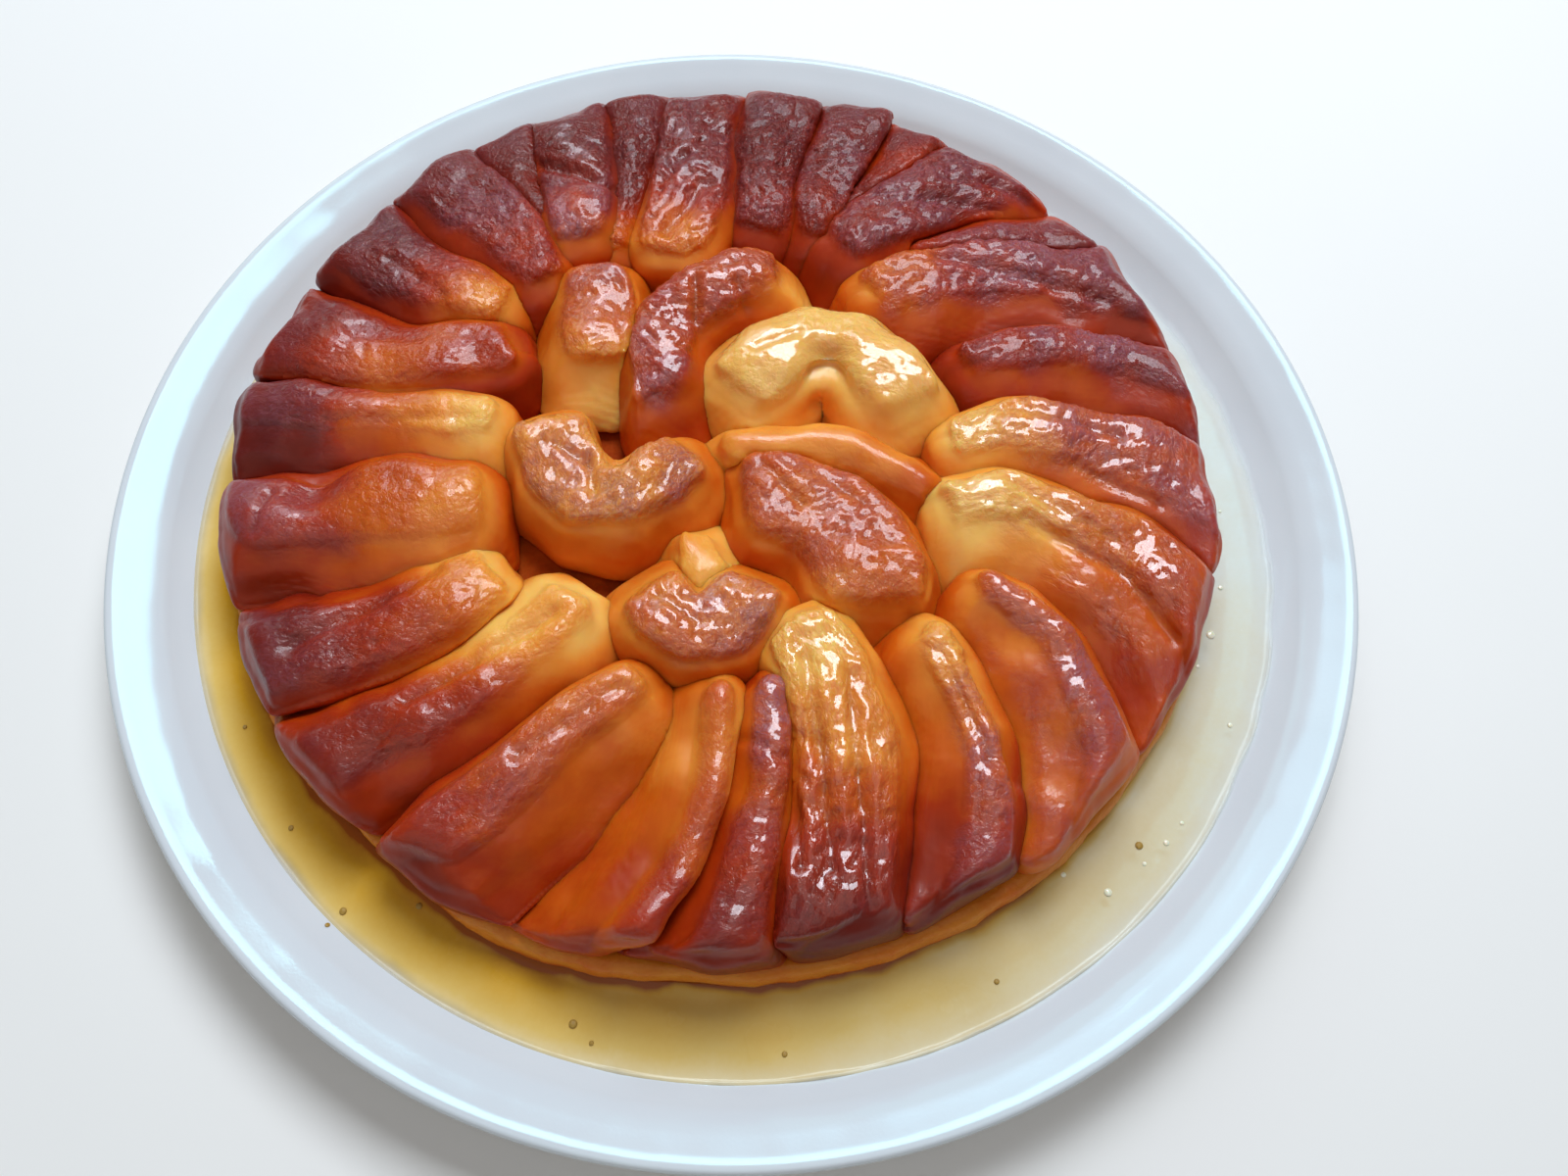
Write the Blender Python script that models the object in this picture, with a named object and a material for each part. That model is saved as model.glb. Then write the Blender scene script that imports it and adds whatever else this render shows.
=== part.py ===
"""Tarte tatin on its white dinner plate, served in a shallow pool of caramel juice.

Run with: blender --background --python part.py
Metres, +Z up. The origin is the centre of the plate's foot ring, on the table.
The tart is a pastry disc that carries a fan of fruit wedges and, inside it, a loose rosette.
"""
import math
from collections import namedtuple

import bmesh
import bpy
import numpy as np
from mathutils import Vector

MM = 0.001
GAP = 0.3 * MM                  # clearance that touching pieces keep
TURNS = 48                      # segments around the turned pieces

# Plate: a flat well, a curved wall and a narrow flange with a rolled lip
PLATE_RADIUS = 150 * MM
PLATE_HEIGHT = 19.5 * MM
PLATE_WALL = 4.2 * MM
WELL_RADIUS = 121 * MM
WELL_FLOOR = 6.5 * MM
WALL_RADIUS = 139 * MM          # where the curved wall meets the flange
WALL_TOP = 15.2 * MM
WALL_POWER = 2.2                # how gently the wall leaves the floor
WALL_PARTS = (0, 0.4, 0.7, 1)   # where the wall's rings stand, as fractions of its width
FOOT_INNER = 90 * MM
FOOT_OUTER = 97 * MM
FOOT_TAPER = 2 * MM
# The flange's rolled lip, as inset from the plate's edge and drop from its top, in mm
LIP_PROFILE = ((3.5, 0.8), (1.6, 0), (0, 1.4), (1.2, 3.4))

# Juice: a level pool between the pastry and the plate's wall
JUICE_LEVEL = 10 * MM

# Pastry: a disc with a soft rounded edge, set a little off the plate's centre
TART_CENTRE = Vector((-4.8 * MM, 5.5 * MM, 0))
TIN_RADIUS = 116.3              # mm, the wall that the fruit was baked against
PASTRY_RIM = 3.2                # mm, how far the pastry stands out past the fruit, on average
THINNEST_RIM = 0.9              # mm
PASTRY_FOOT = WELL_FLOOR + GAP
PASTRY_TOP = PASTRY_FOOT + 9.8 * MM
PASTRY_LIP = 1.3 * MM           # the rim stands this much above the disc
PASTRY_WAVES = ((3, 0.6, 0.4), (7, 2.1, 0.3), (13, 0, 0.2))     # count around, phase, depth in mm
NOTCHES = ((-92.5, 2.6), (-122, 2.2), (-127, 3.0), (125, 2.4), (38, 2.0))   # degrees, depth in mm
NOTCH_WIDTH = math.radians(2.6)
LEAN = 1.3                      # mm, how far the disc has slid from under the fruit
LEAN_ANGLE = math.radians(-50)  # which way it slid

# Fruit wedges
WEDGE_BASE = PASTRY_TOP + GAP
# Half a cross-section: how far from the crest's edge out to the foot, and how high, as fractions
FLANK = ((1, 0), (0.7, 0.42), (0.3, 0.8))
CREST_EDGE = (0.8, 0.97)        # the rounded edge of the crest, as fractions of its half width and the height
END_WIDTH = 0.62                # width of a wedge's end face, as a fraction of its middle
END_DROP = 5 * MM               # how far the crest falls at the very end
END_START = 0.8                 # where an end starts to round off, from 0 at the middle to 1
BOW_ROOM = 0.85                 # how near the hollow side comes to the centre of its curve
WELD = 0.02 * MM                # points closer than this are one
FREE_STATIONS = (0, 0.07, 0.22, 0.42, 0.63, 0.82, 0.94, 1)  # fractions of the length, both ends rounded
WALL_STATIONS = (0, 0.06, 0.2, 0.4, 0.62, 0.85, 1.15)       # the same, where the tin cuts off the outer end

# The inside of the tin, as radius and height in mm: what the outer wedges were pressed against
TIN_PROFILE = ((TIN_RADIUS - 1.5, 12), (TIN_RADIUS, 24), (115.2, 30), (111.8, 34), (105, 38), (90, 43))
TIN_SEGMENTS = 44


def at_wall(degrees):
    """A point just outside the tin's wall, in mm, at an angle about the tart's centre."""
    reach = TIN_RADIUS + 5
    turn = math.radians(degrees)
    return (TART_CENTRE.x / MM + reach * math.cos(turn), TART_CENTRE.y / MM + reach * math.sin(turn))


# Each wedge, in mm from the plate's centre. inner and outer are the ends of its crest line, and
# bow is how far the line's middle bulges to the left, seen from the inner end. crest, left and
# right are half widths at the middle: of the flat crest, and of the foot on either side. flare
# widens the outer end and narrows the inner one. top is the crest's height at each end, and toe
# is how far the foot runs out past an end.
Wedge = namedtuple("Wedge", "inner outer bow crest left right flare top toe")
OUTER_WEDGES = (
    Wedge((-57, 8), at_wall(178), 3, 6, 27, 10, 0.10, (37, 35), 3),
    Wedge((-57, 32), at_wall(166.5), 8.5, 10, 18, 15, 0.20, (37, 35), 3),
    Wedge((-62, 42), at_wall(151), 3, 9.5, 16, 13, 0.30, (36, 34), 6),
    Wedge((-54, 48), at_wall(138), -3, 9.5, 18, 12, 0.30, (37, 35), 6),
    Wedge((-60, 66), at_wall(125.5), 0, 7.5, 12, 11, 0.20, (34, 35), 3),
    Wedge((-46, 62), at_wall(117), 0, 9.5, 13, 13, 0.10, (38, 35), 4),
    Wedge((-37, 62), at_wall(107), 0, 7, 12, 12, 0.40, (34, 35), 3),
    Wedge((-23, 61), at_wall(97.5), 0, 10, 13, 13, 0.05, (37, 35), 3),
    Wedge((-3, 70), at_wall(87), 0, 9.5, 12, 12, 0.15, (36, 35), 4),
    Wedge((12, 70), at_wall(77.5), 0, 8.5, 12, 11, 0.20, (36, 35), 5),
    Wedge((22, 72), at_wall(68.5), 0, 8, 11, 11, 0.15, (35, 35), 5),
    Wedge((18, 67), at_wall(54), 2, 11, 15, 15, 0.25, (37, 35), 8),
    Wedge((38, 67), at_wall(39), 2, 7, 11, 14, 0.00, (35, 35), 3),
    Wedge((25, 52), at_wall(28), 8, 9, 13, 23, 0.10, (37, 34), 6),
    Wedge((50, 34), at_wall(13), 9, 6, 11, 24, 0.15, (36, 34), 5),
    Wedge((46, 13), at_wall(-3), 11, 8, 12, 26, 0.20, (37, 34), 4),
    Wedge((44, -6), at_wall(-19), 13, 7, 12, 34, 0.15, (38, 34), 3),
    Wedge((52, -24), at_wall(-42), 10, 5, 9, 32, 0.15, (38, 34), 3),
    Wedge((42, -36), at_wall(-62), 10, 5, 9, 22, 0.15, (38, 34), 2),
    Wedge((15, -37), at_wall(-76), 10, 11, 15, 15, -0.05, (38, 34), 2),
    Wedge((8, -51), at_wall(-87), 6, 5.5, 11, 15, 0.35, (37, 34), 2),
    Wedge((-3, -51), at_wall(-97), 9, 4, 8, 23, 0.05, (37, 34), 2),
    Wedge((-16, -53), at_wall(-119), 0, 7, 25, 10, 0.10, (37, 34), 2),
    Wedge((-33, -33), at_wall(-135), 7, 6, 19, 19, 0.05, (37, 33), 2),
    Wedge((-51, -29), at_wall(-149), 6, 10, 19, 15, 0.05, (37, 34), 2),
    Wedge((-56, -13), at_wall(-166), 1, 10, 26, 13, 0.00, (38, 35), 2),
)
INNER_WEDGES = (
    Wedge((-48, 9), (-11, 4), -18, 8.5, 9, 13, -0.10, (38, 37), 3),
    Wedge((-38, 24), (-42, 56), 0, 9.5, 15, 12, 0.00, (36, 37), 8),
    Wedge((-20.5, 12), (7, 57), 17, 8.5, 8.5, 14, -0.10, (37, 39), 5),
    Wedge((-5, 17), (40, 18), 20.5, 9.5, 16, 15, 0.00, (38, 39), 5),
    Wedge((-7, 4), (47, -3), 9, 4.5, 9, 15, 0.00, (34, 34), 3),
    Wedge((-1, -7), (33, -35), 12, 12.5, 15, 18, 0.05, (37, 37), 3),
    Wedge((-20, -30), (6.5, -27), -12, 9.5, 10, 12, 0.00, (38, 38), 4),
    Wedge((-10, -16), (-6, -31), 0, 5, 13, 11, 0.20, (34, 33), 5),
)

# Material: colour, roughness
PORCELAIN = ((0.86, 0.88, 0.90), 0.12)
JUICE = ((0.52, 0.34, 0.10), 0.08)
SHORTCRUST = ((0.62, 0.38, 0.14), 0.55)
FRUIT = ((0.55, 0.16, 0.04), 0.25)


def make_material(name, colour, roughness):
    material = bpy.data.materials.new(name)
    material.use_nodes = True
    shader = material.node_tree.nodes["Principled BSDF"]
    shader.inputs["Base Color"].default_value = (*colour, 1)
    shader.inputs["Roughness"].default_value = roughness
    shader.inputs["Metallic"].default_value = 0
    material.diffuse_color = (*colour, 1)
    return material


def add_object(name, shape, material):
    """Make an object from a bmesh, with its normals outward and its round parts smooth."""
    bmesh.ops.recalc_face_normals(shape, faces=shape.faces)
    mesh = bpy.data.meshes.new(name)
    shape.to_mesh(mesh)
    shape.free()
    mesh.shade_smooth()
    mesh.set_sharp_from_angle(angle=math.radians(50))
    mesh.materials.append(material)
    thing = bpy.data.objects.new(name, mesh)
    bpy.context.collection.objects.link(thing)
    return thing


def skin_rings(rings, closed):
    """Join rings of points into one body: a torus if closed, otherwise with a face at each end."""
    shape = bmesh.new()
    loops = [[shape.verts.new(point) for point in ring] for ring in rings]
    pairs = list(zip(loops, loops[1:]))
    if closed:
        pairs.append((loops[-1], loops[0]))
    for near, far in pairs:
        for i in range(len(near)):
            j = (i + 1) % len(near)
            shape.faces.new((near[i], near[j], far[j], far[i]))
    if not closed:
        shape.faces.new(loops[0])
        shape.faces.new(loops[-1])
    return shape


def wall_rings():
    """Radius and height of each ring of the plate's curved wall, from the well's edge outward."""
    width = WALL_RADIUS - WELL_RADIUS
    rise = WALL_TOP - WELL_FLOOR
    return [(WELL_RADIUS + width * part, WELL_FLOOR + rise * part ** WALL_POWER) for part in WALL_PARTS]


def make_plate(material):
    """Turned porcelain plate. The profile runs up the upper side and back along the underside."""
    upper = wall_rings()
    lip = [(PLATE_RADIUS - inset * MM, PLATE_HEIGHT - drop * MM) for inset, drop in LIP_PROFILE]
    under = [(radius + PLATE_WALL / 4, height - PLATE_WALL) for radius, height in reversed(upper[1:])]
    floor = WELL_FLOOR - PLATE_WALL
    foot = [(FOOT_OUTER + FOOT_TAPER, floor), (FOOT_OUTER, 0)]
    foot += [(FOOT_INNER, 0), (FOOT_INNER - FOOT_TAPER, floor)]
    profile = upper + lip + under + foot
    rings = []
    for radius, height in profile:
        ring = []
        for step in range(TURNS):
            angle = math.tau * step / TURNS
            ring.append((radius * math.cos(angle), radius * math.sin(angle), height))
        rings.append(ring)
    return add_object("plate", skin_rings(rings, closed=False), material)


def pastry_notch(angle):
    """Depth of the cracks and tucks in the pastry's edge at one angle, in mm."""
    depth = 0
    for notch_degrees, notch_depth in NOTCHES:
        away = math.remainder(angle - math.radians(notch_degrees), math.tau)
        depth += notch_depth * math.exp(-(away / NOTCH_WIDTH) ** 2)
    return depth


def pastry_point(angle, share, inset, height, cracked=True):
    """A point on the pastry. share runs from the fruit's wall, at 0, to the pastry's edge, at 1."""
    rim = PASTRY_RIM + LEAN * math.cos(angle - LEAN_ANGLE)
    rim += sum(depth * math.sin(count * angle + phase) for count, phase, depth in PASTRY_WAVES)
    if cracked:
        rim = max(rim - pastry_notch(angle), THINNEST_RIM)
    radius = (TIN_RADIUS + share * rim) * MM - inset
    return TART_CENTRE + Vector((radius * math.cos(angle), radius * math.sin(angle), height))


def make_pastry(material):
    """Pastry disc: flat foot, bulging side, low lip tucked around the fruit."""
    foot = PASTRY_FOOT
    lip = PASTRY_TOP + PASTRY_LIP
    profile = (
        (0, 6 * MM, foot), (0.5, 1.5 * MM, foot + 1.2 * MM), (0.8, 0, foot + 3.2 * MM),
        (1, 0, foot + 5.5 * MM), (0.85, 0, lip - 2 * MM), (0.6, 0, lip), (0.25, 0, lip), (0, 0, PASTRY_TOP),
    )
    rings = []
    for share, inset, height in profile:
        rings.append([pastry_point(math.tau * step / TURNS, share, inset, height) for step in range(TURNS)])
    return add_object("pastry_base", skin_rings(rings, closed=False), material)


def make_juice(material):
    """Pool of juice: level on top, following the plate below and the pastry's foot inside."""
    radii, heights = zip(*wall_rings())
    brim = np.interp(JUICE_LEVEL - 2 * GAP, heights, radii)
    rings = []
    for step in range(TURNS):
        angle = math.tau * step / TURNS
        outward = Vector((math.cos(angle), math.sin(angle), 0))
        aside = math.asin(TART_CENTRE.cross(outward).z / (TIN_RADIUS * MM))
        shore = pastry_point(angle + aside, 0.8, -2 * GAP, JUICE_LEVEL, cracked=False).xy.length
        bed = [shore, max(shore + 1 * MM, radii[0]), max(shore + 2 * MM, radii[1]), brim]
        section = [(shore, JUICE_LEVEL)]
        section += [(radius, np.interp(radius, radii, heights) + GAP) for radius in bed]
        section += [(brim, JUICE_LEVEL)]
        rings.append([outward * radius + Vector((0, 0, height)) for radius, height in section])
    return add_object("juice_pool", skin_rings(rings, closed=True), material)


def wedge_section(wedge, along, at_tin, grow):
    """Points across a wedge at one fraction of its length, from its left foot over to its right.

    at_tin says that the outer end runs into the tin's wall, and so isn't rounded off.
    """
    inner = Vector((*wedge.inner, 0)) * MM
    outer = Vector((*wedge.outer, 0)) * MM
    bow = wedge.bow * MM
    run = outer - inner
    sideways = Vector((-run.y, run.x, 0)).normalized()
    centre = inner.lerp(outer, along) + sideways * (bow * 4 * along * (1 - along))
    speed = run + sideways * (bow * 4 * (1 - 2 * along))
    heading = speed.normalized()
    across = Vector((-heading.y, heading.x, 0))
    off_middle = 2 * along - 1
    roundness = 0 if at_tin and along > 0.5 else abs(off_middle)
    fullness = END_WIDTH + (1 - END_WIDTH) * (1 - roundness ** 4) ** 0.5
    width = MM * fullness * (1 + wedge.flare * off_middle)
    room = BOW_ROOM * speed.length ** 3 / max(8 * abs(bow) * run.length, 1e-9)
    left_room = room if bow < 0 else math.inf
    right_room = room if bow > 0 else math.inf
    end_shape = max(0, (roundness - END_START) / (1 - END_START))
    top = wedge.top[0] + (wedge.top[1] - wedge.top[0]) * along
    crown = top * MM - END_DROP * end_shape ** 2 + grow
    base = WEDGE_BASE - grow
    points = []
    for side, foot, limit in ((-1, wedge.left, left_room), (1, wedge.right, right_room)):
        crest = min(wedge.crest * width, limit)
        foot = min(foot * width, limit)
        half = [(crest + part * (foot - crest) + grow, share) for part, share in FLANK]
        half.append((CREST_EDGE[0] * crest, CREST_EDGE[1]))
        if side == 1:
            half = [(0, 1)] + half[::-1]
        for reach, share in half:
            push = end_shape * (wedge.toe * MM * (1 - share) + grow) * math.copysign(1, off_middle)
            point = centre + across * (-side * reach) + heading * push
            point.z = base + (crown - base) * share
            points.append(point)
    return points


def make_wedge(name, wedge, at_tin, material, grow=0.0):
    """Loft one wedge. grow swells it evenly, for use as the cutter that keeps neighbours clear."""
    stations = WALL_STATIONS if at_tin else FREE_STATIONS
    rings = [wedge_section(wedge, along, at_tin, grow) for along in stations]
    return add_object(name, skin_rings(rings, closed=False), material)


def make_tin(material):
    """The inside of the tin, as a solid that trims the outer wedges' ends."""
    rings = []
    for radius, height in TIN_PROFILE:
        ring = []
        for step in range(TIN_SEGMENTS):
            angle = math.tau * step / TIN_SEGMENTS
            spot = Vector((radius * math.cos(angle), radius * math.sin(angle), height)) * MM
            ring.append(TART_CENTRE + spot)
        rings.append(ring)
    return add_object("tin_inside", skin_rings(rings, closed=False), material)


def clean_cut(thing):
    """Weld slivers that the cuts left, and keep only the largest body."""
    shape = bmesh.new()
    shape.from_mesh(thing.data)
    bmesh.ops.remove_doubles(shape, verts=shape.verts, dist=WELD)
    bmesh.ops.dissolve_degenerate(shape, edges=shape.edges, dist=WELD)
    unseen = set(shape.faces)
    bodies = []
    while unseen:
        body = set()
        front = [unseen.pop()]
        while front:
            face = front.pop()
            body.add(face)
            for edge in face.edges:
                if len(edge.link_faces) != 2:
                    continue
                for other in edge.link_faces:
                    if other in unseen:
                        unseen.remove(other)
                        front.append(other)
        bodies.append(body)
    bodies.sort(key=len, reverse=True)
    crumbs = [face for body in bodies[1:] for face in body]
    bmesh.ops.delete(shape, geom=crumbs, context="FACES")
    shape.to_mesh(thing.data)
    shape.free()


def nearness(entry):
    """Sort key: how far back a wedge lies, so that the nearest one is placed first."""
    wedge = entry[1]
    return wedge.inner[1] + wedge.outer[1]


def may_touch(first, second):
    """True when two wedges' bounding boxes overlap."""
    for axis in range(3):
        first_span = [corner[axis] for corner in first.bound_box]
        second_span = [corner[axis] for corner in second.bound_box]
        if max(first_span) < min(second_span) or max(second_span) < min(first_span):
            return False
    return True


def add_cut(thing, operation, other):
    cut = thing.modifiers.new("trim", "BOOLEAN")
    cut.operation = operation
    cut.object = other
    cut.use_self = True     # the hooked wedges nearly meet themselves


def make_wedges(material):
    """All wedges. Each is trimmed where the wedges placed before it stand."""
    tin = make_tin(material)
    rows = [(f"wedge_outer_{number:02d}", wedge) for number, wedge in enumerate(OUTER_WEDGES, 1)]
    rows += [(f"wedge_inner_{number:02d}", wedge) for number, wedge in enumerate(INNER_WEDGES, 1)]
    cutters = []
    for name, wedge in sorted(rows, key=nearness):
        at_tin = name.startswith("wedge_outer")
        piece = make_wedge(name, wedge, at_tin, material)
        if at_tin:
            add_cut(piece, "INTERSECT", tin)
        for cutter in cutters:
            if may_touch(piece, cutter):
                add_cut(piece, "DIFFERENCE", cutter)
        bpy.context.view_layer.objects.active = piece
        for cut in list(piece.modifiers):
            bpy.ops.object.modifier_apply(modifier=cut.name)
        clean_cut(piece)
        cutters.append(make_wedge(name + "_room", wedge, at_tin, material, grow=1.5 * GAP))
    for cutter in [tin] + cutters:
        bpy.data.objects.remove(cutter)


def main():
    for thing in list(bpy.data.objects):
        bpy.data.objects.remove(thing)
    make_plate(make_material("porcelain", *PORCELAIN))
    make_juice(make_material("juice", *JUICE))
    make_pastry(make_material("shortcrust", *SHORTCRUST))
    make_wedges(make_material("fruit", *FRUIT))


main()
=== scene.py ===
"""Looks for the tarte tatin: fruit wedges, pastry, juice and plate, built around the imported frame.

Metres, +Z up. Lengths below are in millimetres unless a name or comment says otherwise.
"""
import itertools
import math
from collections import namedtuple

import bpy
import numpy as np
from mathutils import Matrix, Vector


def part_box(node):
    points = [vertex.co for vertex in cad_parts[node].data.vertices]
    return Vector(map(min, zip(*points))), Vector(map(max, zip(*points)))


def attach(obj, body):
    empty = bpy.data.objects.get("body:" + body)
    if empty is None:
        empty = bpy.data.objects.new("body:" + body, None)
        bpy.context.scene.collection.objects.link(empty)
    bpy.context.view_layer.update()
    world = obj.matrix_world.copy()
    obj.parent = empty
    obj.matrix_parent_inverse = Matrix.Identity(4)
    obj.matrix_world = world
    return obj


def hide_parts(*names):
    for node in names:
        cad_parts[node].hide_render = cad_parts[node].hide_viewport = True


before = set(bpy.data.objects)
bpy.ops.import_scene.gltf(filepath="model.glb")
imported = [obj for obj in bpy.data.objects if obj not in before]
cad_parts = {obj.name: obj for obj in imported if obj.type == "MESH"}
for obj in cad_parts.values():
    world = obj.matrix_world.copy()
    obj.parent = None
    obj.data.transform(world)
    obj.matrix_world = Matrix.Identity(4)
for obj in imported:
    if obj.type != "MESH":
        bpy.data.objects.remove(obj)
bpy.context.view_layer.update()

MM = 0.001
LOW_CORNER, HIGH_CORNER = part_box("pastry_base")
TART_X = (LOW_CORNER.x + HIGH_CORNER.x) / 2
TART_Y = (LOW_CORNER.y + HIGH_CORNER.y) / 2


# ---------------------------------------------------------------- modelling helpers

def activate(piece):
    bpy.ops.object.select_all(action="DESELECT")
    piece.select_set(True)
    bpy.context.view_layer.objects.active = piece


def apply_modifier(piece, kind, **settings):
    """Add one modifier with its settings and apply it."""
    activate(piece)
    modifier = piece.modifiers.new(kind.lower(), kind)
    for name, value in settings.items():
        setattr(modifier, name, value)
    bpy.ops.object.modifier_apply(modifier=modifier.name)


def copy_node(node, name):
    """A free copy of a frame node's mesh, with its loose triangles merged."""
    piece = bpy.data.objects.new(name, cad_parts[node].data.copy())
    piece.data.name = name
    bpy.context.collection.objects.link(piece)
    activate(piece)
    bpy.ops.object.mode_set(mode="EDIT")
    bpy.ops.mesh.select_all(action="SELECT")
    bpy.ops.mesh.remove_doubles(threshold=0.00001)
    bpy.ops.object.mode_set(mode="OBJECT")
    piece.data.materials.clear()
    return piece


def lathe(name, profile, turns):
    """Turn a closed body from (radius, height) points: a disc extruded ring by ring."""
    bpy.ops.object.select_all(action="DESELECT")
    radius, height = profile[0]
    bpy.ops.mesh.primitive_circle_add(
        vertices=turns, radius=radius, location=(0, 0, height), fill_type="NGON")
    piece = bpy.context.object
    piece.name = name
    piece.data.name = name
    bpy.ops.object.mode_set(mode="EDIT")
    bpy.ops.mesh.select_mode(type="EDGE")
    bpy.ops.mesh.select_all(action="SELECT")
    bpy.ops.mesh.region_to_loop()
    for (radius, height), (next_radius, next_height) in zip(profile, profile[1:]):
        bpy.ops.mesh.extrude_edges_move(TRANSFORM_OT_translate={"value": (0, 0, next_height - height)})
        share = next_radius / radius
        bpy.ops.transform.resize(value=(share, share, 1), center_override=(0, 0, 0))
    bpy.ops.mesh.edge_face_add()
    bpy.ops.mesh.select_all(action="SELECT")
    bpy.ops.mesh.normals_make_consistent(inside=False)
    bpy.ops.object.mode_set(mode="OBJECT")
    bpy.ops.object.transform_apply(location=True, rotation=True, scale=True)
    return piece


def points_of(piece):
    flat = np.empty(len(piece.data.vertices) * 3, np.float32)
    piece.data.vertices.foreach_get("co", flat)
    return flat.reshape(-1, 3).astype(float)


def normals_of(piece):
    flat = np.empty(len(piece.data.vertices) * 3, np.float32)
    piece.data.vertices.foreach_get("normal", flat)
    return flat.reshape(-1, 3).astype(float)


def move_points(piece, points):
    piece.data.vertices.foreach_set("co", points.astype(np.float32).ravel())
    piece.data.update()


def paint(piece, name, values):
    """Store a number, or a vector, for each point of the mesh."""
    kind = "FLOAT" if values.ndim == 1 else "FLOAT_VECTOR"
    layer = piece.data.attributes.new(name, kind, "POINT")
    layer.data.foreach_set("value" if values.ndim == 1 else "vector", values.astype(np.float32).ravel())


def ramp(low, high, values):
    """0 below low, 1 above high, and a smooth rise between them."""
    share = np.clip((values - low) / (high - low), 0, 1)
    return share * share * (3 - 2 * share)


def bumps(points, size, seed):
    """Smooth gradient noise, about -1 to 1, with lumps of the given size in mm."""
    rng = np.random.default_rng(seed)
    order = rng.permutation(256)
    slopes = rng.normal(size=(256, 3))
    slopes /= np.linalg.norm(slopes, axis=1)[:, None]
    place = points / (size * MM)
    cell = np.floor(place).astype(int)
    part = place - cell
    ease = part ** 3 * (part * (part * 6 - 15) + 10)
    total = np.zeros(len(points))
    for corner in itertools.product((0, 1), repeat=3):
        spot = (cell + corner) % 256
        pick = order[(order[(order[spot[:, 0]] + spot[:, 1]) % 256] + spot[:, 2]) % 256]
        weight = np.prod(np.where(np.array(corner) == 1, ease, 1 - ease), axis=1)
        total += weight * np.einsum("ij,ij->i", slopes[pick], part - corner)
    return total * 1.7


def from_centre(points):
    """Plan distance of each point from the tart's centre, in mm."""
    return np.hypot(points[:, 0] - TART_X, points[:, 1] - TART_Y) / MM


def line_distance(points, start, end):
    """Plan distance in metres from each point to a line between two places in mm."""
    start = np.array(start) * MM
    run = np.array(end) * MM - start
    share = np.clip((points[:, :2] - start) @ run / max(run @ run, 1e-12), 0, 1)
    return np.linalg.norm(points[:, :2] - start - share[:, None] * run, axis=1)


def finish_piece(piece, material, slot, *nodes):
    """Give a piece its material and smooth shading, hang it on the root, and hide the frame's nodes that it
    stands for.
    """
    piece.data.materials.clear()
    piece.data.materials.append(material)
    activate(piece)
    bpy.ops.object.shade_smooth()
    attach(piece, "root")
    if nodes:
        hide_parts(*nodes)


# ---------------------------------------------------------------- shader helpers

class Value:
    """A node's output that can be used in ordinary arithmetic."""

    def __init__(self, shader, socket):
        self.shader = shader
        self.socket = socket

    def math(self, operation, *others):
        inputs = dict(enumerate(others))
        return self.shader.node("ShaderNodeMath", {"operation": operation}, inputs)

    def __add__(self, other):
        return self.math("ADD", self, other)

    def __sub__(self, other):
        return self.math("SUBTRACT", self, other)

    def __rsub__(self, other):
        return self.math("SUBTRACT", other, self)

    def __mul__(self, other):
        return self.math("MULTIPLY", self, other)

    __radd__ = __add__
    __rmul__ = __mul__


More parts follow.
